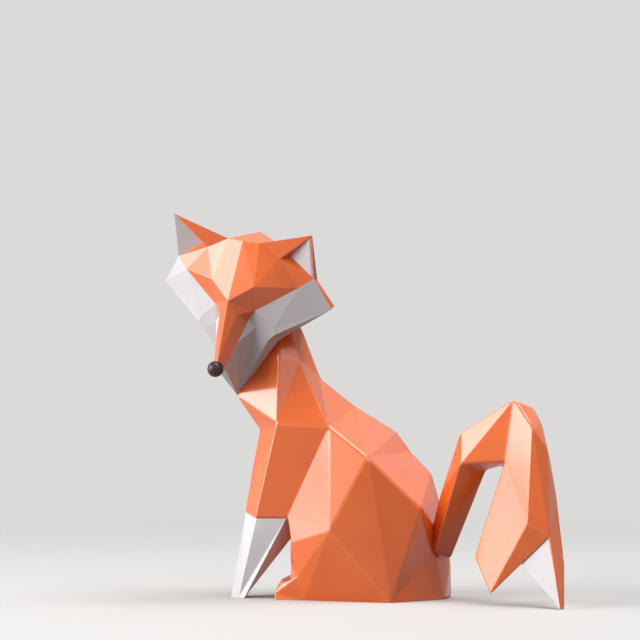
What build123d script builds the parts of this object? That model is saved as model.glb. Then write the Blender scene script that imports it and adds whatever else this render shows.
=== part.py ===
from build123d import *
import os

# Fox figurine in a folded-paper style, cast in parts that are glued and pinned together.
# +Z is up, the table is Z 0, the fox's chest faces -X and its left flank faces -Y.
# The origin is the middle of the flat seat, in the fox's plane of symmetry.
# Every length is in millimetres and every angle in degrees.

# Torso
seat_length = 100.0
body_width = 75.0
neck_height = 150.0

# Head, measured in its own directions
head_width = 103.0
head_depth = 50.0
head_height = 92.0
head_turn = 67.0
head_roll = 10.2
head_nod = 1.0
nose_radius = 4.4
front_layer_share = 0.2
nose_peg_radius = 1.2
nose_peg_length = 5.0

# Tail
tail_reach = 62.0
tail_swing = 67.0
tail_height = 110.0

# Joints between the castings
seat_rim = 6.0
plate_thickness = 3.0
felt_thickness = 1.0
plate_ledge = 2.5
hollow_height = 62.0
hollow_draft_angle = 16.0
glue_gap = 0.15
sock_inset = 0.8
neck_dowel_radius = 3.0
neck_dowel_length = 36.0
foot_pin_radius = 1.5
foot_pin_length = 14.0
tail_pin_radius = 1.5
tail_pin_length = 14.0

# Torso corners: back from the chest, out from the middle and up,
# as shares of seat_length, body_width and neck_height
torso_shares = {
    "throat": (-0.702, 0, 0.738),
    "chest_hollow": (-0.576, 0, 0.616),
    "breast": (-0.629, 0, 0.431),
    "cuff_front": (-0.66, 0, 0.311),
    "cuff_side": (-0.596, 0.187, 0.292),
    "cuff_rear": (-0.423, 0.227, 0.292),
    "belly": (-0.27, 0, 0.313),
    "shoulder": (-0.477, 0.28, 0.639),
    "neck_front": (-0.61, 0, 0.933),
    "neck_side": (-0.466, 0.173, 0.888),
    "neck_rear_side": (-0.35, 0.16, 0.873),
    "neck_rear": (-0.338, 0, 0.993),
    "neck_top": (-0.5, 0, 1.16),
    "nape": (-0.234, 0, 0.809),
    "haunch_top": (-0.191, 0.353, 0.628),
    "back": (-0.029, 0, 0.701),
    "flank": (0.014, 0.5, 0.52),
    "loin": (0.188, 0, 0.612),
    "dip": (0.271, 0, 0.535),
    "rump": (0.382, 0, 0.457),
    "rump_low": (0.421, 0, 0.368),
    "haunch_rear": (0.304, 0.425, 0.336),
    "tail_side": (0.384, 0.187, 0.171),
    "rear_edge": (0.485, 0, 0.138),
    "rear_foot": (0.49, 0, 0),
    "rear_corner": (0.443, 0.2, 0),
    "side_corner": (0.139, 0.493, 0),
    "knee": (-0.192, 0.479, 0.256),
    "front_corner": (-0.332, 0.277, 0),
    "hock": (-0.403, 0.267, 0.207),
    "shin": (-0.365, 0.288, 0.085),
    "paw_top": (-0.459, 0.213, 0.057),
    "paw_front": (-0.491, 0.22, 0.022),
    "paw_foot": (-0.485, 0.241, 0),
    "paw_inner_top": (-0.4, 0.12, 0.05),
    "paw_inner_foot": (-0.43, 0.13, 0),
    "groin_foot": (-0.27, 0, 0),
}

# Facets of the left half of the torso, by corner
torso_facets = [
    ("throat", "chest_hollow", "shoulder"),
    ("throat", "shoulder", "neck_side"),
    ("throat", "neck_side", "neck_front"),
    ("neck_front", "neck_side", "neck_top"),
    ("neck_side", "neck_rear_side", "neck_top"),
    ("neck_rear_side", "neck_rear", "neck_top"),
    ("neck_side", "shoulder", "neck_rear_side"),
    ("neck_rear_side", "nape", "neck_rear"),
    ("shoulder", "haunch_top", "neck_rear_side"),
    ("neck_rear_side", "haunch_top", "nape"),
    ("nape", "haunch_top", "back"),
    ("chest_hollow", "breast", "shoulder"),
    ("breast", "cuff_side", "shoulder"),
    ("breast", "cuff_front", "cuff_side"),
    ("shoulder", "cuff_side", "cuff_rear"),
    ("shoulder", "cuff_rear", "haunch_top"),
    ("haunch_top", "cuff_rear", "knee"),
    ("haunch_top", "knee", "flank"),
    ("haunch_top", "flank", "back"),
    ("back", "flank", "loin"),
    ("loin", "flank", "dip"),
    ("dip", "flank", "rump"),
    ("flank", "knee", "side_corner"),
    ("flank", "side_corner", "haunch_rear"),
    ("haunch_rear", "side_corner", "tail_side"),
    ("flank", "haunch_rear", "rump"),
    ("rump", "haunch_rear", "rump_low"),
    ("haunch_rear", "tail_side", "rump_low"),
    ("rump_low", "tail_side", "rear_edge"),
    ("tail_side", "side_corner", "rear_corner"),
    ("tail_side", "rear_corner", "rear_edge"),
    ("rear_edge", "rear_corner", "rear_foot"),
    ("knee", "front_corner", "side_corner"),
    ("cuff_rear", "hock", "knee"),
    ("knee", "hock", "shin"),
    ("knee", "shin", "front_corner"),
    ("shin", "paw_top", "paw_front"),
    ("shin", "paw_front", "front_corner"),
    ("front_corner", "paw_front", "paw_foot"),
    ("shin", "paw_inner_top", "paw_top"),
    ("paw_top", "paw_inner_top", "paw_front"),
    ("paw_front", "paw_inner_top", "paw_inner_foot"),
    ("paw_front", "paw_inner_foot", "paw_foot"),
    ("hock", "paw_inner_top", "shin"),
    ("hock", "groin_foot", "paw_inner_top"),
    ("paw_inner_top", "groin_foot", "paw_inner_foot"),
    ("hock", "belly", "groin_foot"),
    ("cuff_rear", "belly", "hock"),
    ("cuff_side", "belly", "cuff_rear"),
    ("cuff_side", "cuff_front", "belly"),
    ("paw_foot", "paw_inner_foot", "groin_foot"),
    ("paw_foot", "groin_foot", "front_corner"),
    ("front_corner", "groin_foot", "side_corner"),
    ("side_corner", "groin_foot", "rear_corner"),
    ("rear_corner", "groin_foot", "rear_foot"),
]

# Head corners: left from its middle, forward and up,
# as shares of head_width, head_depth and head_height
head_shares = {
    "forehead": (0, 0.338, 0.31),
    "ear_root": (0.092, 0.32, 0.312),
    "brow_top": (0.214, 0.268, 0.243),
    "ear_fold": (0.257, 0.194, 0.271),
    "mask_corner": (0.404, 0.162, 0.162),
    "mask_low": (0.334, 0.202, 0.09),
    "brow_middle": (0.124, 0.402, 0.054),
    "stop": (0, 0.452, -0.055),
    "mask_kink": (0.118, 0.242, -0.085),
    "snout_root": (0.084, 0.2, -0.13),
    "snout_side": (0.065, 0.31, -0.286),
    "snout_end": (0.031, 0.38, -0.446),
    "snout_shoulder": (0.049, 0.394, -0.129),
    "snout_rib": (0.039, 0.37, -0.346),
    "snout_tip": (0, 0.446, -0.429),
    "cheek_tip": (0.5, 0, 0),
    "jaw_front": (0.217, 0.14, -0.176),
    "jaw_bend": (0.224, 0.12, -0.209),
    "jaw_corner": (0.188, 0.098, -0.247),
    "jaw_fold": (0.118, 0.164, -0.185),
    "jaw_rear": (0.215, -0.073, -0.234),
    "chin": (0, -0.206, -0.612),
    "crown": (0, -0.052, 0.388),
    "crown_side": (0.19, -0.12, 0.3),
    "ear_rear": (0.412, 0.1, 0.157),
    "cheek_rear": (0.5, -0.06, 0.023),
    "occiput": (0, -0.48, 0.15),
    "skull_side": (0.28, -0.46, -0.1),
    "throat_rear": (0, -0.44, -0.26),
    "throat_side": (0.1, -0.36, -0.33),
}
hub_share = (0, -0.08, -0.09)
ear_tip_share = (0.408, 0.422, 0.405)
nose_share = (0, 0.47, -0.463)

# The middle of the cheeks, as shares of the torso's lengths
head_place_share = (-0.644, 0.133, 1.114)

mask_facets = [
    ("forehead", "ear_root", "brow_middle"),
    ("ear_root", "brow_top", "brow_middle"),
    ("forehead", "brow_middle", "stop"),
    ("brow_top", "ear_fold", "mask_corner"),
    ("brow_top", "mask_corner", "mask_low"),
    ("brow_top", "mask_low", "brow_middle"),
    ("brow_middle", "mask_low", "mask_kink"),
    ("brow_middle", "mask_kink", "stop"),
    ("stop", "mask_kink", "snout_shoulder"),
    ("stop", "snout_shoulder", "snout_tip"),
    ("snout_shoulder", "snout_rib", "snout_tip"),
    ("mask_kink", "snout_root", "snout_shoulder"),
    ("snout_root", "snout_side", "snout_shoulder"),
    ("snout_side", "snout_rib", "snout_shoulder"),
    ("snout_side", "snout_end", "snout_rib"),
    ("snout_end", "snout_tip", "snout_rib"),
]
mask_end = ("snout_tip", "snout_end", "snout_end_right")

ruff_facets = [
    ("mask_corner", "cheek_tip", "mask_low"),
    ("mask_low", "cheek_tip", "jaw_front"),
    ("mask_low", "jaw_front", "mask_kink"),
    ("mask_kink", "jaw_front", "jaw_fold"),
    ("cheek_tip", "jaw_bend", "jaw_front"),
    ("jaw_front", "jaw_bend", "jaw_corner"),
    ("jaw_front", "jaw_corner", "jaw_fold"),
    ("mask_kink", "jaw_fold", "snout_root"),
    ("snout_root", "jaw_fold", "snout_side"),
    ("snout_side", "jaw_fold", "chin"),
    ("snout_side", "chin", "snout_end"),
    ("jaw_fold", "jaw_corner", "chin"),
    ("cheek_tip", "jaw_rear", "jaw_bend"),
    ("jaw_bend", "jaw_rear", "jaw_corner"),
    ("jaw_corner", "jaw_rear", "chin"),
]
ruff_end = ("snout_end", "chin", "snout_end_right")

skull_facets = [
    ("forehead", "crown", "ear_root"),
    ("ear_root", "crown", "crown_side"),
    ("ear_root", "crown_side", "ear_fold"),
    ("ear_root", "ear_fold", "brow_top"),
    ("ear_fold", "crown_side", "mask_corner"),
    ("mask_corner", "crown_side", "ear_rear"),
    ("mask_corner", "ear_rear", "cheek_rear"),
    ("mask_corner", "cheek_rear", "cheek_tip"),
    ("cheek_tip", "cheek_rear", "jaw_rear"),
    ("crown", "occiput", "crown_side"),
    ("crown_side", "occiput", "skull_side"),
    ("crown_side", "skull_side", "ear_rear"),
    ("ear_rear", "skull_side", "cheek_rear"),
    ("cheek_rear", "skull_side", "jaw_rear"),
    ("jaw_rear", "skull_side", "throat_side"),
    ("jaw_rear", "throat_side", "chin"),
    ("chin", "throat_side", "throat_rear"),
    ("throat_side", "skull_side", "throat_rear"),
    ("skull_side", "occiput", "throat_rear"),
]

# The ear's outer facets, its seat on the skull, and the pocket that its lining fills
ear_facets = [
    ("ear_tip", "ear_root", "brow_top"),
    ("ear_tip", "brow_top", "ear_fold"),
    ("ear_tip", "mask_corner", "ear_rear"),
    ("ear_tip", "ear_rear", "crown_side"),
    ("ear_tip", "crown_side", "ear_root"),
]
ear_seat_facets = [
    ("ear_root", "crown_side", "ear_fold"),
    ("ear_root", "ear_fold", "brow_top"),
    ("ear_fold", "crown_side", "mask_corner"),
    ("mask_corner", "crown_side", "ear_rear"),
]
lining_facets = [
    ("ear_tip", "ear_fold", "lining_root"),
    ("ear_fold", "mask_corner", "lining_root"),
    ("mask_corner", "ear_tip", "lining_root"),
]
lining_front = ("ear_tip", "ear_fold", "mask_corner")
lining_root_share = 0.35

# Feet and sockets, as shares of the torso's lengths
foot_shares = {
    "foot_front": (-0.732, 0.013, 0),
    "foot_ridge": (-0.69, 0.055, 0),
    "foot_rear": (-0.658, 0.11, 0),
    "foot_inner": (-0.665, 0.013, 0),
}
neck_dowel_share = (-0.47, 0, 0.787)
tail_root_shares = {
    "root_left": (0.375, 0.16, 0.262),
    "root_low": (0.386, 0.213, 0.169),
    "root_right": (0.477, 0.134, 0.144),
    "root_back": (0.48, 0.027, 0.253),
    "root_deep": (0.3, 0.04, 0.2),
}
tail_dowel_share = (0.365, 0.03, 0.13)
tail_dowel_rise_share = 0.38

# Tail corners, from a point under its root, as shares of tail_reach, tail_swing and tail_height
tail_start_share = (0.43, 0.13, 0)
tail_shares = {
    "stem_bend": (-0.016, 0.213, 0.544),
    "arch_left": (0.137, 0.345, 0.827),
    "arch_low": (0.13, 0.453, 0.677),
    "arch_right": (0.363, 0.362, 0.646),
    "arch_back": (0.34, 0.183, 0.8),
    "peak": (0.588, 0.56, 0.995),
    "inner": (0.51, 0.585, 0.692),
    "inner_back": (0.502, 0.451, 0.667),
    "peak_back": (0.661, 0.392, 0.89),
    "ridge_top": (0.725, 0.717, 0.858),
    "ridge_foot": (0.672, 0.817, 0.397),
    "fold_top": (0.856, 0.711, 0.757),
    "fold_foot": (0.854, 0.839, 0.339),
    "crest": (0.765, 0.522, 0.954),
    "edge_top": (0.824, 0.565, 0.884),
    "edge_upper": (0.909, 0.556, 0.678),
    "edge_middle": (0.949, 0.645, 0.49),
    "edge_low": (0.99, 0.751, 0.224),
    "edge_foot": (0.961, 0.958, 0),
    "tip": (0.924, 0.989, 0),
    "flap_side": (0.251, 0.416, 0.214),
    "flap_foot": (0.366, 0.575, 0.044),
    "back_middle": (0.758, 0.451, 0.545),
    "back_low": (0.661, 0.481, 0.2),
    "notch": (0.758, 0.601, 0.278),
}
tip_start_share = 0.52
tip_inset_share = 0.08

stem_facets = [
    ("arch_left", "stem_bend", "arch_low"),
    ("stem_bend", "root_low", "arch_low"),
    ("stem_bend", "root_left", "root_low"),
    ("arch_low", "root_low", "arch_right"),
    ("root_low", "root_right", "arch_right"),
    ("arch_right", "root_right", "arch_back"),
    ("root_right", "root_back", "arch_back"),
    ("arch_back", "stem_bend", "arch_left"),
    ("arch_back", "root_back", "stem_bend"),
    ("root_back", "root_left", "stem_bend"),
    ("root_left", "root_deep", "root_low"),
    ("root_low", "root_deep", "root_right"),
    ("root_right", "root_deep", "root_back"),
    ("root_back", "root_deep", "root_left"),
]
stem_joint_facets = [
    ("arch_left", "arch_low", "arch_right"),
    ("arch_left", "arch_right", "arch_back"),
]
arch_facets = [
    ("arch_left", "arch_low", "peak"),
    ("arch_low", "inner", "peak"),
    ("arch_low", "arch_right", "inner"),
    ("arch_right", "inner_back", "inner"),
    ("arch_right", "arch_back", "inner_back"),
    ("arch_back", "peak_back", "inner_back"),
    ("arch_left", "peak", "arch_back"),
    ("arch_back", "peak", "peak_back"),
]
brush_joint_facets = [
    ("peak", "inner", "inner_back"),
    ("peak", "inner_back", "peak_back"),
]
brush_facets = [
    ("peak", "inner", "ridge_top"),
    ("inner", "ridge_foot", "ridge_top"),
    ("inner", "flap_side", "ridge_foot"),
    ("flap_side", "flap_foot", "ridge_foot"),
    ("ridge_foot", "flap_foot", "fold_foot"),
    ("peak", "ridge_top", "crest"),
    ("crest", "ridge_top", "edge_top"),
    ("ridge_top", "fold_top", "edge_top"),
    ("ridge_top", "ridge_foot", "fold_foot"),
    ("ridge_top", "fold_foot", "fold_top"),
    ("edge_top", "fold_top", "edge_upper"),
    ("edge_upper", "fold_top", "edge_middle"),
    ("fold_top", "fold_foot", "edge_middle"),
    ("edge_middle", "fold_foot", "edge_low"),
    ("fold_foot", "tip", "edge_low"),
    ("tip", "edge_foot", "edge_low"),
    ("peak", "crest", "peak_back"),
    ("crest", "edge_top", "peak_back"),
    ("peak_back", "edge_top", "edge_upper"),
    ("peak_back", "edge_upper", "back_middle"),
    ("edge_upper", "edge_middle", "back_middle"),
    ("peak_back", "back_middle", "inner_back"),
    ("inner_back", "back_middle", "flap_side"),
    ("back_middle", "back_low", "flap_side"),
    ("back_middle", "edge_middle", "edge_low"),
    ("back_middle", "edge_low", "back_low"),
    ("inner", "inner_back", "flap_side"),
    ("flap_side", "back_low", "flap_foot"),
    ("flap_foot", "back_low", "notch"),
    ("flap_foot", "notch", "fold_foot"),
    ("fold_foot", "notch", "tip"),
    ("tip", "notch", "edge_foot"),
    ("edge_foot", "notch", "edge_low"),
    ("edge_low", "notch", "back_low"),
]


def place(share, lengths):
    return Vector(*[part * length for part, length in zip(share, lengths)])


def toward(start, end, share):
    return start + (end - start) * share


def stepped(start, end, distance):
    """The point that lies a distance from start on the way to end."""
    return start + (end - start).normalized() * distance


def middle(points):
    return sum(points[1:], points[0]) * (1 / len(points))


def facet_solid(corners, facets):
    """The closed solid inside flat facets that are given by their corners' names."""
    outlines = [[corners[name] for name in facet] for facet in facets]
    return Solid(Shell([Face(Wire.make_polygon(outline, close=True)) for outline in outlines]))


def right_name(name):
    return name + "_right"


def left_name(name):
    return name


def side_facets(facets, side_name):
    return [tuple(side_name(name) for name in facet) for facet in facets]


def whole(facets):
    """The facets of both halves."""
    return facets + side_facets(facets, right_name)


def both_halves(half, side):
    """Corners of both halves, where the middle ones keep one place under both names."""
    corners = dict(half)
    for name, point in half.items():
        corners[right_name(name)] = point - side * (2 * point.dot(side))
    return corners


def open_edges(facets, corners):
    """The edges, as pairs of names, that only one of the facets has."""
    def key(name):
        return tuple(corners[name])

    edges = [pair for facet in facets for pair in zip(facet, facet[1:] + facet[:1])]
    keys = [frozenset((key(start), key(end))) for start, end in edges]
    return [edge for edge, edge_key in zip(edges, keys) if keys.count(edge_key) == 1]


def pin(start, end, radius):
    axis = Plane(origin=start, z_dir=end - start)
    return Solid.make_cylinder(radius, (end - start).length, axis)


def level_with(point, three):
    """The point moved up or down to the plane of three others."""
    normal = (three[1] - three[0]).cross(three[2] - three[0])
    return Vector(point.X, point.Y, three[0].Z - normal.dot(Vector(
        point.X - three[0].X, point.Y - three[0].Y, 0)) / normal.Z)


# Torso, with its corners on the left half first
torso_lengths = (seat_length, -body_width, neck_height)
torso_half = {name: place(share, torso_lengths) for name, share in torso_shares.items()}
cuff_names = ("cuff_front", "cuff_side", "cuff_rear")
torso_half["belly"] = level_with(torso_half["belly"], [torso_half[name] for name in cuff_names])
torso_corners = both_halves(torso_half, Vector(0, 1, 0))
seat_names = ["groin_foot", "front_corner", "side_corner", "rear_corner", "rear_foot"]


def seat_face():
    left = [torso_corners[name] for name in seat_names]
    right = [torso_corners[right_name(name)] for name in reversed(seat_names[1:-1])]
    return Face(Wire.make_polygon(left + right, close=True))


def inset(face, distance):
    return offset(face, amount=-distance, kind=Kind.INTERSECTION).face()


def solid_torso():
    return facet_solid(torso_corners, whole(torso_facets))


def torso_hollow():
    """The recess for the plate and felt, and above it the hollow of the casting."""
    recess_depth = plate_thickness + felt_thickness
    recess = extrude(inset(seat_face(), seat_rim), amount=recess_depth, dir=(0, 0, 1))
    floor = Pos(0, 0, recess_depth) * inset(seat_face(), seat_rim + plate_ledge)
    hollow = extrude(floor, amount=hollow_height, dir=(0, 0, 1), taper=hollow_draft_angle)
    return recess + hollow


def base_plate():
    outline = inset(seat_face(), seat_rim + glue_gap)
    return Pos(0, 0, felt_thickness) * extrude(outline, amount=plate_thickness, dir=(0, 0, 1))


def base_felt():
    outline = inset(seat_face(), seat_rim + glue_gap)
    return extrude(outline, amount=felt_thickness, dir=(0, 0, 1))


# Feet
def cuff_corners(side_name):
    return [torso_corners[side_name(name)] for name in cuff_names + ("belly",)]


def forefoot(side_name):
    cuff = cuff_corners(side_name)
    centre = middle(cuff)
    feet = both_halves({name: place(share, torso_lengths) for name, share in foot_shares.items()},
                       Vector(0, 1, 0))
    corners = {"front": stepped(cuff[0], centre, sock_inset),
               "side": stepped(cuff[1], centre, sock_inset),
               "rear": stepped(cuff[2], centre, sock_inset),
               "inner": stepped(cuff[3], centre, sock_inset)}
    for name in foot_shares:
        corners[name] = feet[side_name(name)]
    return facet_solid(corners, [
        ("front", "side", "rear"),
        ("front", "rear", "inner"),
        ("front", "side", "foot_ridge"),
        ("front", "foot_ridge", "foot_front"),
        ("side", "rear", "foot_ridge"),
        ("rear", "inner", "foot_rear"),
        ("rear", "foot_rear", "foot_ridge"),
        ("inner", "foot_inner", "foot_rear"),
        ("inner", "front", "foot_inner"),
        ("front", "foot_front", "foot_inner"),
        ("foot_front", "foot_ridge", "foot_rear"),
        ("foot_front", "foot_rear", "foot_inner"),
    ])


def foot_pin(side_name, radius):
    centre = middle(cuff_corners(side_name))
    rise = Vector(0, 0, foot_pin_length / 2)
    return pin(centre - rise, centre + rise, radius)


# Head
head_place = place(head_place_share, torso_lengths)
head_frame = Pos(*head_place) * Rot(0, 0, head_turn - 90) * Rot(0, head_roll, 0) * Rot(-head_nod, 0, 0)
head_lengths = (head_width, -head_depth, head_height)
head_half = {name: place(share, head_lengths) for name, share in head_shares.items()}
head_half["ear_tip"] = place(ear_tip_share, head_lengths)
lining_middle = middle([head_half[name] for name in lining_front])
head_half["lining_root"] = toward(lining_middle, head_half["crown_side"], lining_root_share)
head_corners = both_halves(head_half, Vector(1, 0, 0))
hub = place(hub_share, head_lengths)
layer_corners = dict(head_corners)
for corner_name, corner in head_corners.items():
    layer_corners[corner_name + "_inner"] = toward(corner, hub, front_layer_share)
whole_mask = whole(mask_facets) + [mask_end]
whole_ruff = whole(ruff_facets) + [ruff_end]


def inner_facets(facets):
    return [tuple(name + "_inner" for name in facet) for facet in facets]


def layer_walls(facets):
    edges = open_edges(facets, head_corners)
    return [(start, end, end + "_inner", start + "_inner") for start, end in edges]


def front_layer(facets):
    return facet_solid(layer_corners, facets + inner_facets(facets) + layer_walls(facets))


def skull_casting():
    front = whole_mask + whole_ruff
    return facet_solid(layer_corners, whole(skull_facets) + inner_facets(front) + layer_walls(front))


def solid_head():
    return facet_solid(head_corners, whole_mask + whole_ruff + whole(skull_facets))


def ear_lining(side_name):
    return facet_solid(head_corners, side_facets(lining_facets + [lining_front], side_name))


def ear(side_name):
    facets = ear_facets + ear_seat_facets + lining_facets
    return facet_solid(head_corners, side_facets(facets, side_name))


def nose_peg(radius):
    centre = place(nose_share, head_lengths)
    return pin(centre, stepped(centre, hub, nose_radius + nose_peg_length), radius)


def nose_ball():
    centre = place(nose_share, head_lengths)
    return Pos(*centre) * Sphere(nose_radius) - solid_head() + nose_peg(nose_peg_radius)


# Tail
tail_lengths = (tail_reach, -tail_swing, tail_height)
tail_start = place(tail_start_share, torso_lengths)
tail_corners = {name: tail_start + place(share, tail_lengths) for name, share in tail_shares.items()}
for corner_name, share in tail_root_shares.items():
    tail_corners[corner_name] = place(share, torso_lengths)
stem_end = [tail_corners[name] for name in ("arch_left", "arch_low", "arch_right", "arch_back")]
arch_end = [tail_corners[name] for name in ("peak", "inner", "inner_back", "peak_back")]
root_end = [tail_corners[name] for name in ("root_left", "root_low", "root_right", "root_back")]


def tail_stem():
    return facet_solid(tail_corners, stem_facets + stem_joint_facets) - solid_torso()


def tail_arch():
    return facet_solid(tail_corners, stem_joint_facets + arch_facets + brush_joint_facets)


def tail_brush():
    return facet_solid(tail_corners, brush_joint_facets + brush_facets)


def tail_tip():
    corners = dict(tail_corners)
    start = toward(corners["flap_foot"], corners["fold_foot"], tip_start_share)
    corners["start"] = toward(start, corners["notch"], tip_inset_share)
    corners["top"] = toward(corners["fold_foot"], corners["notch"], tip_inset_share)
    return facet_solid(corners, [("start", "top", "tip"), ("start", "tip", "notch"),
                                 ("start", "notch", "top"), ("top", "notch", "tip")])


def tail_dowel(radius):
    start = place(tail_dowel_share, torso_lengths)
    end = toward(middle(root_end), middle(stem_end), tail_dowel_rise_share)
    return pin(start, end, radius)


def tail_pin(near, far, radius):
    """A pin through the middle of one joint face, half of it on each side."""
    seam = middle(near)
    ahead = (middle(far) - seam).normalized() * (tail_pin_length / 2)
    return pin(seam - ahead, seam + ahead, radius)


def neck_dowel(radius):
    start = place(neck_dowel_share, torso_lengths)
    inside = (head_frame * Pos(*hub)).position
    return pin(start, stepped(start, inside, neck_dowel_length), radius)


def parts():
    hole = glue_gap
    head = head_frame * solid_head()
    torso = solid_torso() - torso_hollow() - head
    torso -= neck_dowel(neck_dowel_radius + hole)
    torso -= tail_dowel(tail_pin_radius + hole)
    feet = {}
    for label, side_name in (("left", left_name), ("right", right_name)):
        hollow = foot_pin(side_name, foot_pin_radius + hole)
        torso -= hollow
        feet[label + "_forefoot"] = forefoot(side_name) - hollow
        feet[label + "_ear"] = head_frame * ear(side_name)
        feet[label + "_ear_lining"] = head_frame * ear_lining(side_name)
    pins = [foot_pin(side_name, foot_pin_radius) for side_name in (left_name, right_name)]
    first_hole = tail_pin(stem_end, arch_end, tail_pin_radius + hole)
    second_hole = tail_pin(arch_end, stem_end, tail_pin_radius + hole)
    return feet | {
        "torso_casting": torso,
        "base_plate": base_plate(),
        "base_felt": base_felt(),
        "forefoot_pins": Compound(children=pins),
        "neck_dowel": neck_dowel(neck_dowel_radius),
        "skull_casting": head_frame * skull_casting() - neck_dowel(neck_dowel_radius + hole),
        "face_mask": head_frame * (front_layer(whole_mask) - nose_peg(nose_peg_radius + hole)),
        "cheek_ruff": head_frame * front_layer(whole_ruff),
        "nose_ball": head_frame * nose_ball(),
        "tail_stem": tail_stem() - tail_dowel(tail_pin_radius + hole) - first_hole,
        "tail_arch": tail_arch() - first_hole - second_hole,
        "tail_brush": tail_brush() - second_hole,
        "tail_tip": tail_tip(),
        "tail_dowel": tail_dowel(tail_pin_radius),
        "tail_pins": Compound(children=[tail_pin(stem_end, arch_end, tail_pin_radius),
                                        tail_pin(arch_end, stem_end, tail_pin_radius)]),
    }


os.makedirs("parts", exist_ok=True)
for node, shape in parts().items():
    export_step(shape, f"parts/{node}.step")
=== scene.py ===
import math

import bmesh
import bpy
from mathutils import Matrix, Vector
from mathutils.bvhtree import BVHTree


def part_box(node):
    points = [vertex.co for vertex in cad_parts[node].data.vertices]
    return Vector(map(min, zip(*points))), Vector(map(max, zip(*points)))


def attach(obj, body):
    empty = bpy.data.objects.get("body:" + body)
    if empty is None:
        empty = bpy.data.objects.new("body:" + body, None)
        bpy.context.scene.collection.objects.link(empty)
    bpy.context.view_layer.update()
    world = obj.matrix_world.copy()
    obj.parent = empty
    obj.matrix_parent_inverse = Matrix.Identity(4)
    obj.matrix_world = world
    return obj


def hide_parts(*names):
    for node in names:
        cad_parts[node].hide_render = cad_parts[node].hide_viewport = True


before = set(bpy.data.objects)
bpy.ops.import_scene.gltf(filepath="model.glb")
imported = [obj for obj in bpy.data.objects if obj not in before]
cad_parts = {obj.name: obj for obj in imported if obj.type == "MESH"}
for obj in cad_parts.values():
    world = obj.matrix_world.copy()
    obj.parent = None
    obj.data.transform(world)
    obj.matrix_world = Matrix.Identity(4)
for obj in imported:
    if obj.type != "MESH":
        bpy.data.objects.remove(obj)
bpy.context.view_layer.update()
print("loaded", len(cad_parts), "castings and inner pieces")


# The viewpoint of the photograph: low, level with the fox's chest, a long lens.
viewpoint = {
    "place": (-0.024, -1.14, 0.1007),
    "tilt": 92.657,         # degrees, where 90 looks level
    "lens": 115.14,
    "sensor": 36.0,
    "nearest": 0.01,
    "farthest": 20.0,
}


def makeCamera():
    lens = bpy.data.cameras.new("camera")
    lens.lens = viewpoint["lens"]
    lens.sensor_width = viewpoint["sensor"]
    lens.clip_start = viewpoint["nearest"]
    lens.clip_end = viewpoint["farthest"]
    camera = bpy.data.objects.new("camera", lens)
    camera.location = viewpoint["place"]
    camera.rotation_euler = (math.radians(viewpoint["tilt"]), 0, 0)
    bpy.context.scene.collection.objects.link(camera)
    bpy.context.scene.camera = camera


def addObject(name, shape):
    mesh = bpy.data.meshes.new(name)
    shape.to_mesh(mesh)
    shape.free()
    thing = bpy.data.objects.new(name, mesh)
    bpy.context.scene.collection.objects.link(thing)
    return thing


def vertsAmong(geom):
    return [item for item in geom if isinstance(item, bmesh.types.BMVert)]


# Colours are written as a paint chart gives them, 0 to 255, and turned to linear light.
def chart(red, green, blue):
    linear = [((value / 255 + 0.055) / 1.055) ** 2.4 if value > 10 else value / 255 / 12.92
              for value in (red, green, blue)]
    return (*linear, 1.0)


def newMaterial(name):
    material = bpy.data.materials.new(name)
    material.use_nodes = True
    return material, material.node_tree.nodes, material.node_tree.links


def noiseOn(nodes, links, place, scale, detail, roughness=0.5):
    noise = nodes.new("ShaderNodeTexNoise")
    noise.inputs["Scale"].default_value = scale
    noise.inputs["Detail"].default_value = detail
    noise.inputs["Roughness"].default_value = roughness
    links.new(place, noise.inputs["Vector"])
    return noise.outputs["Fac"]


# A value that runs over one span, made to run over another.
def spread(nodes, links, value, span, toSpan=(0.0, 1.0)):
    mapping = nodes.new("ShaderNodeMapRange")
    for socket, number in zip(("From Min", "From Max", "To Min", "To Max"), (*span, *toSpan)):
        mapping.inputs[socket].default_value = number
    links.new(value, mapping.inputs["Value"])
    return mapping.outputs["Result"]


def combine(nodes, links, operation, first, second):
    joined = nodes.new("ShaderNodeMath")
    joined.operation = operation
    links.new(first, joined.inputs[0])
    links.new(second, joined.inputs[1])
    return joined.outputs["Value"]


def blendColours(nodes, links, factor, first, second):
    blend = nodes.new("ShaderNodeMix")
    blend.data_type = "RGBA"
    links.new(factor, blend.inputs["Factor"])
    for socket, colour in ((blend.inputs["A"], first), (blend.inputs["B"], second)):
        if isinstance(colour, tuple):
            socket.default_value = colour
        else:
            links.new(colour, socket)
    return blend.outputs["Result"]


def addBump(nodes, links, shader, height, depth, strength):
    bump = nodes.new("ShaderNodeBump")
    bump.inputs["Distance"].default_value = depth
    bump.inputs["Strength"].default_value = strength
    links.new(height, bump.inputs["Height"])
    links.new(bump.outputs["Normal"], shader.inputs["Normal"])


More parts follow.
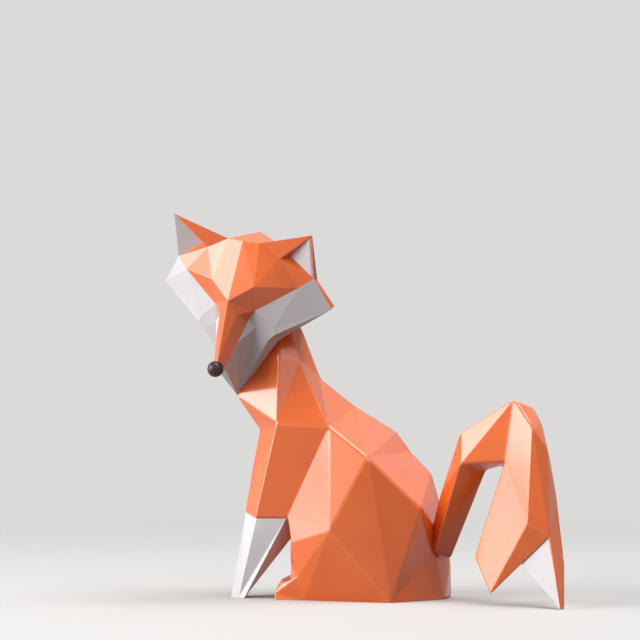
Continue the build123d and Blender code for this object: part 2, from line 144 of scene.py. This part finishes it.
# Sprayed satin paint: cloudy by a shade and finely pebbled. Ridges are painted paler, partly as
# thin paint and partly as a painted highlight, and creases darker, as painted shade.
orangePaint = {
    "name": "orangePaint",
    "colour": chart(235, 107, 34),
    "cloud": chart(227, 98, 29),
    # ridge: paler, partly thin paint and partly a painted highlight; crease: painted shade
    "ridge": chart(247, 150, 100),
    "crease": chart(172, 56, 20),
    "roughness": (0.34, 0.42),
    "specular": 0.15,
    "coat": 0.9,
    "coatIor": 1.6,
    "coatRoughness": 0.14,
}
whitePaint = {
    "name": "whitePaint",
    "colour": chart(212, 207, 210),
    "cloud": chart(205, 199, 203),
    # ridge: paler, partly thin paint and partly a painted highlight; crease: painted shade
    "ridge": chart(242, 240, 242),
    "crease": chart(176, 160, 166),
    "roughness": (0.36, 0.44),
    "specular": 0.2,
    "coat": 0.15,
    "coatIor": 1.5,
    "coatRoughness": 0.2,
}
nosePaint = {
    "name": "nosePaint",
    "colour": chart(60, 30, 27),
    "cloud": chart(50, 24, 21),
    # ridge: paler, partly thin paint and partly a painted highlight; crease: painted shade
    "ridge": chart(78, 44, 38),
    "crease": chart(34, 17, 15),
    "roughness": (0.34, 0.42),
    "specular": 0.3,
    "coat": 0.2,
    "coatIor": 1.5,
    "coatRoughness": 0.25,
}
paintGrain = {
    "cloudScale": 26.0,
    "cloudDetail": 3.0,
    "cloudSpan": (0.35, 0.65),      # the part of the noise that goes from one shade to the other
    "brushScale": 240.0,
    "brushDetail": 2.0,
    "brushSpan": (0.3, 0.7),
    "thinPaintAndPaintedLightShare": (0.75, 1.0),       # how evenly the paler ridges (thin paint and painted highlight) and the painted shade in creases are laid on
    # the most paler paint and painted highlight on a ridge, and the most painted shade in a crease
    "ridgeShare": 0.6,
    "creaseShare": 0.45,
    "pebbleScale": 1500.0,
    "pebbleDetail": 2.0,
    "pebbleDepth": 0.00002,
    "pebbleStrength": 0.35,
}


def makePaint(look):
    material, nodes, links = newMaterial(look["name"])
    shader = nodes["Principled BSDF"]
    place = nodes.new("ShaderNodeTexCoord").outputs["Object"]
    cloud = noiseOn(nodes, links, place, paintGrain["cloudScale"], paintGrain["cloudDetail"])
    cloudShare = spread(nodes, links, cloud, paintGrain["cloudSpan"])
    body = blendColours(nodes, links, cloudShare, look["colour"], look["cloud"])
    # Ridges are painted paler, partly as thin paint and partly as a painted highlight, and creases
    # darker as painted shade, following the ridge attribute.
    ridge = nodes.new("ShaderNodeAttribute")
    ridge.attribute_name = "ridge"
    brushed = noiseOn(nodes, links, place, paintGrain["brushScale"], paintGrain["brushDetail"])
    thinPaintAndPaintedLightShare = spread(nodes, links, brushed, paintGrain["brushSpan"], paintGrain["thinPaintAndPaintedLightShare"])
    for side, colour, share in ((1.0, look["ridge"], paintGrain["ridgeShare"]),
                                (-1.0, look["crease"], paintGrain["creaseShare"])):
        amount = spread(nodes, links, ridge.outputs["Fac"], (0.0, side), (0.0, share))
        marked = combine(nodes, links, "MULTIPLY", amount, thinPaintAndPaintedLightShare)
        body = blendColours(nodes, links, marked, body, colour)
    links.new(body, shader.inputs["Base Color"])
    links.new(spread(nodes, links, brushed, paintGrain["brushSpan"], look["roughness"]),
              shader.inputs["Roughness"])
    shader.inputs["Specular IOR Level"].default_value = look["specular"]
    shader.inputs["Coat Weight"].default_value = look["coat"]
    shader.inputs["Coat IOR"].default_value = look["coatIor"]
    shader.inputs["Coat Roughness"].default_value = look["coatRoughness"]
    pebble = noiseOn(nodes, links, place, paintGrain["pebbleScale"], paintGrain["pebbleDetail"])
    addBump(nodes, links, shader, pebble, paintGrain["pebbleDepth"], paintGrain["pebbleStrength"])
    return material


# Pressed wool felt: short matted fibres and a faint nap.
feltLook = {
    "dark": chart(36, 36, 38),
    "light": chart(66, 65, 66),
    "fibreScale": 2600.0,
    "fibreDetail": 4.0,
    "fibreRoughness": 0.7,
    "matScale": 300.0,
    "matDetail": 3.0,
    "span": (0.12, 0.4),
    "depth": 0.00018,
    "strength": 1.0,
    "roughness": 0.95,
    "sheen": 0.4,
}


def makeFelt():
    material, nodes, links = newMaterial("feltPad")
    shader = nodes["Principled BSDF"]
    place = nodes.new("ShaderNodeTexCoord").outputs["Object"]
    fibre = noiseOn(nodes, links, place, feltLook["fibreScale"], feltLook["fibreDetail"],
                    feltLook["fibreRoughness"])
    mat = noiseOn(nodes, links, place, feltLook["matScale"], feltLook["matDetail"])
    matted = combine(nodes, links, "MULTIPLY", fibre, mat)
    factor = spread(nodes, links, matted, feltLook["span"])
    links.new(blendColours(nodes, links, factor, feltLook["dark"], feltLook["light"]),
              shader.inputs["Base Color"])
    shader.inputs["Roughness"].default_value = feltLook["roughness"]
    shader.inputs["Sheen Weight"].default_value = feltLook["sheen"]
    addBump(nodes, links, shader, matted, feltLook["depth"], feltLook["strength"])
    return material


# The inner pieces: fibreboard, and beech and drawn steel, which are streaked upwards.
innerLooks = {
    "fibreboard": {
        "nodes": ["base_plate"],
        "dark": chart(120, 94, 66),
        "light": chart(158, 128, 94),
        "scale": 700.0,
        "stretch": (1.0, 1.0, 1.0),
        "roughness": (0.75, 0.9),
        "metal": 0.0,
    },
    "beech": {
        "nodes": ["neck_dowel"],
        "dark": chart(176, 130, 84),
        "light": chart(214, 174, 124),
        "scale": 420.0,
        "stretch": (1.0, 1.0, 0.08),
        "roughness": (0.5, 0.65),
        "metal": 0.0,
    },
    "drawnSteel": {
        "nodes": ["tail_dowel", "tail_pins", "forefoot_pins"],
        "dark": chart(150, 151, 154),
        "light": chart(186, 187, 190),
        "scale": 1600.0,
        "stretch": (1.0, 1.0, 0.05),
        "roughness": (0.28, 0.4),
        "metal": 1.0,
    },
}
innerGrain = {"detail": 4.0, "roughness": 0.6, "span": (0.35, 0.65)}


def makeInner(name, look):
    material, nodes, links = newMaterial(name)
    shader = nodes["Principled BSDF"]
    stretched = nodes.new("ShaderNodeMapping")
    stretched.inputs["Scale"].default_value = look["stretch"]
    links.new(nodes.new("ShaderNodeTexCoord").outputs["Object"], stretched.inputs["Vector"])
    grain = noiseOn(nodes, links, stretched.outputs["Vector"], look["scale"],
                    innerGrain["detail"], innerGrain["roughness"])
    factor = spread(nodes, links, grain, innerGrain["span"])
    links.new(blendColours(nodes, links, factor, look["dark"], look["light"]),
              shader.inputs["Base Color"])
    links.new(spread(nodes, links, grain, innerGrain["span"], look["roughness"]),
              shader.inputs["Roughness"])
    shader.inputs["Metallic"].default_value = look["metal"]
    return material


def finishInnerPieces():
    for name, look in innerLooks.items():
        material = makeInner(name, look)
        for node in look["nodes"]:
            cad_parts[node].data.materials.clear()
            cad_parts[node].data.materials.append(material)


# How a casting's folds are rounded by the mould and the paint. Lengths are in metres.
fold = {
    "segments": 4,                      # even, so that a seam along a fold parts its rounding in two
    "leastAngle": math.radians(1.5),    # what turns by less isn't rounded
    "leastBreadth": 0.0004,             # beside narrower facets nothing is rounded
    "sameFacet": math.radians(0.7),     # triangles that turn by less are one facet
    "room": 0.5,                        # share of a facet's half breadth that a fold may take
    "pointed": math.radians(50),        # corners narrower than this get narrower folds
    "corner": math.radians(42),         # what turns by more stays a sharp edge
    "sameWay": 0.9999,                  # cosine between a face and the facet that it is part of
    "flat": 0.0000003,                  # how far from the facet that face may lie
    "flankShare": 0.55,                 # how far the mark of a ridge goes beside its middle
    "touch": 0.00003,                   # facets nearer than this rest on each other
    "glue": 0.00025,                    # so near are a pin and its hole, or the plate and its seat
    "facing": -0.5,                     # cosine between two facets that look at each other
    "level": 0.99,                      # cosine between the seat's underside and the table
    "merge": 0.000005,                  # points nearer than this are one
    "seamDepth": 0.88,                  # seams run in towards the core, to this share of the way out
}
seatMark = 100                          # added to the number of a facet that is glued to a neighbour
pins = ("neck_dowel", "tail_dowel", "tail_pins", "forefoot_pins", "nose_ball")


def surfaceOf(name):
    shape = bmesh.new()
    shape.from_mesh(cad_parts[name].data)
    surface = BVHTree.FromBMesh(shape)
    shape.free()
    return surface


def liesOn(face, surface, near):
    points = [vert.co for vert in face.verts] + [face.calc_center_median()]
    hits = [surface.find_nearest(point, near) for point in points]
    return (all(hit[0] is not None for hit in hits)
            and hits[-1][1].dot(face.normal) < fold["facing"])


# The castings as one skin. Where two of them meet, both glued faces go.
def gather(castings):
    skin = bmesh.new()
    surfaces = [surfaceOf(name) for name in castings]
    for number, name in enumerate(castings):
        known = len(skin.faces)
        skin.from_mesh(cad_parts[name].data)
        skin.faces.ensure_lookup_table()
        for face in skin.faces[known:]:
            face.material_index = number
    skin.normal_update()
    glued = [face for face in skin.faces
             if any(liesOn(face, surface, fold["touch"])
                    for number, surface in enumerate(surfaces) if number != face.material_index)]
    bmesh.ops.delete(skin, geom=glued, context="FACES")
    bmesh.ops.remove_doubles(skin, verts=skin.verts, dist=fold["merge"])
    return skin


# A pin fills its hole, so the lining of the hole goes and the facet runs on over it.
def fillPinHoles(skin, neighbours):
    for name in neighbours:
        if name in pins:
            surface = surfaceOf(name)
            lining = [face for face in skin.faces if liesOn(face, surface, fold["glue"])]
            bmesh.ops.delete(skin, geom=lining, context="FACES")
    rim = [edge for edge in skin.edges if edge.is_boundary]
    plugs = bmesh.ops.holes_fill(skin, edges=rim, sides=0)["faces"]
    for plug in plugs:
        beside = [face for edge in plug.edges for face in edge.link_faces if face not in plugs]
        plug.material_index = beside[0].material_index
    skin.normal_update()


# Facets that rest on another group's casting are marked, and keep sharp edges.
def markSeats(skin, neighbours):
    for name in neighbours:
        surface = surfaceOf(name)
        for face in skin.faces:
            if face.material_index < seatMark and liesOn(face, surface, fold["touch"]):
                face.material_index += seatMark


# So is the hollow above the plate: the facets on the plate, and all that join them, as far as
# the underside that stands on the table.
def markHollow(skin, plate):
    surface = surfaceOf(plate)
    found = [face for face in skin.faces if liesOn(face, surface, fold["glue"])]
    hollow = set(found)
    while found:
        for edge in found.pop().edges:
            for face in edge.link_faces:
                underside = (face.normal.z < -fold["level"]
                             and face.calc_center_median().z < fold["touch"])
                if face not in hollow and not underside:
                    hollow.add(face)
                    found.append(face)
    for face in hollow:
        face.material_index += seatMark


def isBroad(face):
    longest = max(edge.calc_length() for edge in face.edges)
    return face.material_index < seatMark and face.calc_area() / longest > fold["leastBreadth"]


# A fold is rounded as widely as the facets beside it leave room for, and less at a pointed tip.
def foldWidth(edge, width):
    rooms = [fold["room"] * 2 * face.calc_area() / face.calc_perimeter()
             for face in edge.link_faces]
    corners = [loop.calc_angle() for vert in edge.verts for loop in vert.link_loops
               if loop.face in edge.link_faces]
    pointed = min(min(corners) / fold["pointed"], 1.0)
    return min(width * pointed, *rooms)


def roundFolds(skin, group):
    bmesh.ops.dissolve_limit(skin, angle_limit=fold["sameFacet"], use_dissolve_boundaries=False,
                             verts=skin.verts, edges=skin.edges, delimit={"MATERIAL"})
    share = skin.edges.layers.float.new("bevel_weight_edge")
    folds = [edge for edge in skin.edges
             if len(edge.link_faces) == 2 and edge.calc_face_angle(0) > fold["leastAngle"]
             and all(isBroad(face) for face in edge.link_faces)]
    for edge in folds:
        edge[share] = foldWidth(edge, group["width"]) / group["width"]
    skin.normal_update()
    facets = [(face.normal.copy(), face.calc_center_median()) for face in skin.faces]
    sharpSkin = addObject("sharpSkin", skin)
    rounding = sharpSkin.modifiers.new("roundedFolds", "BEVEL")
    rounding.limit_method = "WEIGHT"
    rounding.width = group["width"]
    rounding.segments = fold["segments"]
    rounding.profile = 0.5
    rounding.use_clamp_overlap = group["crowded"]
    rounding.material = -1
    bpy.context.view_layer.update()
    roundedMesh = sharpSkin.evaluated_get(bpy.context.evaluated_depsgraph_get()).to_mesh()
    rounded = bmesh.new()
    rounded.from_mesh(roundedMesh)
    bpy.data.objects.remove(sharpSkin)
    markRidges(rounded, facets, math.radians(group["sharp"]))
    return rounded


# Whether a face of the rounded skin is what is left of a flat facet.
def isFlat(face, facets):
    return any(normal.dot(face.normal) > fold["sameWay"]
               and all(abs((corner.co - centre).dot(normal)) < fold["flat"]
                       for corner in face.verts) for normal, centre in facets)


# Along each fold the attribute "ridge" goes from 0 at the facets to 1 on a sharp ridge or -1 in a
# sharp crease, and stays nearer to 0 where the facets turn by less than "sharp".
def markRidges(skin, facets, sharp):
    layer = skin.verts.layers.float.new("ridge")
    skin.normal_update()
    flat = {face for face in skin.faces if isFlat(face, facets)}
    inner = [vert for vert in skin.verts if not any(face in flat for face in vert.link_faces)]
    turned = {vert: sum(edge.calc_face_angle_signed(0) for edge in vert.link_edges
                        if len(edge.link_faces) == 2) for vert in inner}
    for vert in inner:
        middle = all(edge.other_vert(vert) in turned for edge in vert.link_edges)
        share = min(abs(turned[vert]) / sharp, 1.0)
        vert[layer] = math.copysign(share if middle else share * fold["flankShare"], turned[vert])


def drawIn(piece, verts, core):
    bmesh.ops.scale(piece, vec=(fold["seamDepth"],) * 3, space=Matrix.Translation(-core),
                    verts=verts)


# One casting's share of the skin. A layer of the head gets an inner side that is the skin once
# more, nearer its core. Any other casting has its seams run inwards and closed.
def partCasting(skin, number, core, layered):
    piece = skin.copy()
    others = [face for face in piece.faces if face.material_index % seatMark != number]
    bmesh.ops.delete(piece, geom=others, context="FACES")
    rim = [edge for edge in piece.edges if edge.is_boundary]
    for edge in piece.edges:
        edge.smooth = not edge.is_boundary and edge.calc_face_angle(0) < fold["corner"]
    if rim and layered:
        everything = piece.verts[:] + piece.edges[:] + piece.faces[:]
        made = bmesh.ops.extrude_face_region(piece, geom=everything, use_keep_orig=True)["geom"]
        drawIn(piece, vertsAmong(made), core)
    elif rim:
        made = bmesh.ops.extrude_edge_only(piece, edges=rim)["geom"]
        drawIn(piece, vertsAmong(made), core)
        lip = [item for item in made if isinstance(item, bmesh.types.BMEdge)]
        closed = bmesh.ops.holes_fill(piece, edges=lip, sides=0)["faces"]
        bmesh.ops.triangulate(piece, faces=closed)
    bmesh.ops.recalc_face_normals(piece, faces=piece.faces)
    return piece


def coreOf(node):
    low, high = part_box(node)
    return (low + high) / 2


# A finished piece. Flat facets are shaded flat, right up to their rounded folds.
def dress(name, shape, node, material):
    for face in shape.faces:
        face.smooth = True
        face.material_index = 0
    piece = addObject(name, shape)
    piece.data.materials.append(material)
    even = piece.modifiers.new("flatFacets", "WEIGHTED_NORMAL")
    even.mode = "FACE_AREA"
    even.keep_sharp = True
    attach(piece, "root")
    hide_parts(node)


# Castings that were glued, filled and painted as one, so their facets run on across the seams.
# Beside each stands the node whose middle its seams run towards.
castingGroups = {
    "head": {
        "castings": {
            "skull_casting": "skull_casting",
            "face_mask": "skull_casting",
            "cheek_ruff": "skull_casting",
            "left_ear": "left_ear",
            "right_ear": "right_ear",
            "left_ear_lining": "left_ear",
            "right_ear_lining": "right_ear",
        },
        "neighbours": ["torso_casting", "neck_dowel", "nose_ball"],
        "layered": True,    # shells that lie on each other
        "width": 0.0006,
        "crowded": True,    # many short folds, so the modifier narrows them where they would meet
        "sharp": 14,        # degrees by which a full ridge turns
    },
    "tail": {
        "castings": {
            "tail_stem": "tail_stem",
            "tail_arch": "tail_arch",
            "tail_brush": "tail_brush",
        },
        "neighbours": ["torso_casting", "tail_dowel", "tail_pins"],
        "layered": False,
        "width": 0.0018,
        "crowded": False,
        "sharp": 120,
    },
    "torso": {
        "castings": {"torso_casting": "torso_casting"},
        "neighbours": ["skull_casting", "neck_dowel", "tail_dowel", "forefoot_pins"],
        "plate": "base_plate",
        "layered": False,
        "width": 0.0018,
        "crowded": False,
        "sharp": 90,
    },
    "tail tip": {
        "castings": {"tail_tip": "tail_tip"},
        "neighbours": ["tail_brush"],
        "layered": False,
        "width": 0.0006,
        "crowded": True,
        "sharp": 60,
    },
}
for foot in ("left_forefoot", "right_forefoot"):
    castingGroups[foot] = {
        "castings": {foot: foot},
        "neighbours": ["torso_casting", "forefoot_pins"],
        "layered": False,
        "width": 0.0006,
        "crowded": True,
        "sharp": 60,
    }
whiteCastings = ("cheek_ruff", "left_ear_lining", "right_ear_lining", "tail_tip",
                 "left_forefoot", "right_forefoot")


def makeCastings(paints):
    for groupName, group in castingGroups.items():
        sharpSkin = gather(group["castings"])
        fillPinHoles(sharpSkin, group["neighbours"])
        markSeats(sharpSkin, group["neighbours"])
        if "plate" in group:
            markHollow(sharpSkin, group["plate"])
        skin = roundFolds(sharpSkin, group)
        for number, (name, core) in enumerate(group["castings"].items()):
            shape = partCasting(skin, number, coreOf(core), group["layered"])
            slotName = "white_paint" if name in whiteCastings else "orange_paint"
            dress("painted_" + name, shape, name, paints[slotName])
        print(groupName, "rounded and parted:", len(skin.faces), "faces")
        skin.free()


# The nose is a turned ball with its peg hidden in the snout.
noseBall = {"radius": 0.0044, "rings": 40, "around": 64}


def makeNose(material):
    low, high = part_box("nose_ball")
    centre = low + Vector((noseBall["radius"],) * 3)
    ball = bmesh.new()
    bmesh.ops.create_uvsphere(ball, u_segments=noseBall["around"], v_segments=noseBall["rings"],
                              radius=noseBall["radius"], matrix=Matrix.Translation(centre))
    dress("painted_nose_ball", ball, "nose_ball", material)


# The felt is cut a little soft at its edge.
feltPad = {"edge": 0.0003, "segments": 3}


def makeFeltPad(material):
    pad = bmesh.new()
    pad.from_mesh(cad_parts["base_felt"].data)
    bmesh.ops.remove_doubles(pad, verts=pad.verts, dist=fold["merge"])
    bmesh.ops.dissolve_limit(pad, angle_limit=fold["sameFacet"], use_dissolve_boundaries=False,
                             verts=pad.verts, edges=pad.edges, delimit=set())
    bmesh.ops.bevel(pad, geom=pad.edges[:], offset=feltPad["edge"], offset_type="OFFSET",
                    segments=feltPad["segments"], profile=0.5, affect="EDGES", clamp_overlap=True,
                    material=-1)
    dress("felt_pad", pad, "base_felt", material)


# A pale sweep: a floor that curves up into a backdrop. Lengths are in metres from the fox.
sweep = {
    "colour": chart(196, 195, 194),
    "shade": chart(88, 85, 83),
    "roughness": 0.9,
    "far": chart(219, 218, 217),
    "fade": (0.3, 0.9),     # from here to there the lamps' uneven light gives way to "far"
    "front": -4.0,
    "bend": 0.75,           # where the floor begins to rise
    "bendRadius": 0.8,
    "halfWidth": 6.0,
    "height": 3.5,
    "steps": 24,
}


def makeSweep():
    shape = bmesh.new()
    near = shape.verts.new((-sweep["halfWidth"], sweep["front"], 0))
    bend = shape.verts.new((-sweep["halfWidth"], sweep["bend"], 0))
    shape.edges.new((near, bend))
    turn = bmesh.ops.spin(shape, geom=[bend], cent=(0, sweep["bend"], sweep["bendRadius"]),
                          axis=(1, 0, 0), angle=math.pi / 2, steps=sweep["steps"])
    bmesh.ops.extrude_vert_indiv(shape, verts=turn["geom_last"][:1])
    shape.verts.ensure_lookup_table()
    shape.verts[-1].co.z = sweep["height"]
    wide = bmesh.ops.extrude_edge_only(shape, edges=shape.edges[:])["geom"]
    bmesh.ops.translate(shape, vec=(2 * sweep["halfWidth"], 0, 0), verts=vertsAmong(wide))
    bmesh.ops.recalc_face_normals(shape, faces=shape.faces)
    for face in shape.faces:
        face.smooth = True
    backdrop = addObject("sweep", shape)
    backdrop.data.materials.append(makeSweepPaper())


# 1 where a surface is seen, mirrored too, and 0 where it only lights what is around it.
def seenShare(nodes, links):
    rays = nodes.new("ShaderNodeLightPath").outputs
    seen = combine(nodes, links, "MAXIMUM", rays["Is Camera Ray"], rays["Is Glossy Ray"])
    return combine(nodes, links, "MAXIMUM", seen, rays["Is Transmission Ray"])


# The paper is pale where it is seen, and throws back less light from below. Far off it is seen
# at one pale level.
def makeSweepPaper():
    material, nodes, links = newMaterial("sweepPaper")
    shader = nodes["Principled BSDF"]
    seen = seenShare(nodes, links)
    links.new(blendColours(nodes, links, seen, sweep["shade"], sweep["colour"]),
              shader.inputs["Base Color"])
    shader.inputs["Roughness"].default_value = sweep["roughness"]
    distance = nodes.new("ShaderNodeVectorMath")
    distance.operation = "LENGTH"
    links.new(nodes.new("ShaderNodeTexCoord").outputs["Object"], distance.inputs[0])
    far = spread(nodes, links, distance.outputs["Value"], sweep["fade"])
    glow = nodes.new("ShaderNodeEmission")
    glow.inputs["Color"].default_value = sweep["far"]
    paper = nodes.new("ShaderNodeMixShader")
    links.new(combine(nodes, links, "MULTIPLY", far, seen), paper.inputs["Fac"])
    links.new(shader.outputs["BSDF"], paper.inputs[1])
    links.new(glow.outputs["Emission"], paper.inputs[2])
    links.new(paper.outputs["Shader"], nodes["Material Output"].inputs["Surface"])
    return material


# A wide softbox on the chest's side with a brighter core and a weaker strip below it, whose sheen
# lies on the facets that face them, lights above and behind, and a wide fill in front.
studio = {
    "aim": Vector((0.0, -0.01, 0.1)),
    "world": (0.14, 0.14, 0.14, 1.0),
    "lights": [
        {"name": "softbox", "place": (-1.72, -0.52, 0.6), "size": (2.2, 1.5), "power": 23.5},
        {"name": "softboxCore", "place": (-1.42, -0.46, 0.74), "size": (1.2, 0.7), "power": 17.0},
        {"name": "lowStrip", "place": (-1.75, -0.48, 0.18), "size": (2.2, 0.34), "power": 7.0},
        {"name": "topLight", "place": (0.4, -0.14, 1.94), "size": (1.1, 1.1), "power": 32.0},
        {"name": "backPanel", "place": (1.09, 0.85, 1.49), "size": (1.3, 1.3), "power": 4.0},
        {"name": "frontFill", "place": (0.9, -1.7, 1.8), "size": (2.4, 1.6), "power": 17.0},
    ],
}


def makeWorld():
    world = bpy.data.worlds.new("studio")
    world.use_nodes = True
    nodes = world.node_tree.nodes
    links = world.node_tree.links
    links.new(blendColours(nodes, links, seenShare(nodes, links), studio["world"], sweep["far"]),
              nodes["Background"].inputs["Color"])
    nodes["Background"].inputs["Strength"].default_value = 1.0
    bpy.context.scene.world = world


def lightStudio():
    for light in studio["lights"]:
        lamp = bpy.data.lights.new(light["name"], "AREA")
        lamp.shape = "RECTANGLE"
        lamp.size, lamp.size_y = light["size"]
        lamp.energy = light["power"]
        thing = bpy.data.objects.new(light["name"], lamp)
        thing.location = light["place"]
        aim = studio["aim"] - Vector(light["place"])
        thing.rotation_euler = aim.to_track_quat("-Z", "Y").to_euler()
        bpy.context.scene.collection.objects.link(thing)
    bpy.context.scene.view_settings.view_transform = "Standard"


makeCamera()
makeCastings({"orange_paint": makePaint(orangePaint), "white_paint": makePaint(whitePaint)})
makeNose(makePaint(nosePaint))
makeFeltPad(makeFelt())
finishInnerPieces()
print("castings, nose, felt and inner pieces finished")
makeSweep()
makeWorld()
lightStudio()
print("sweep and lights placed")
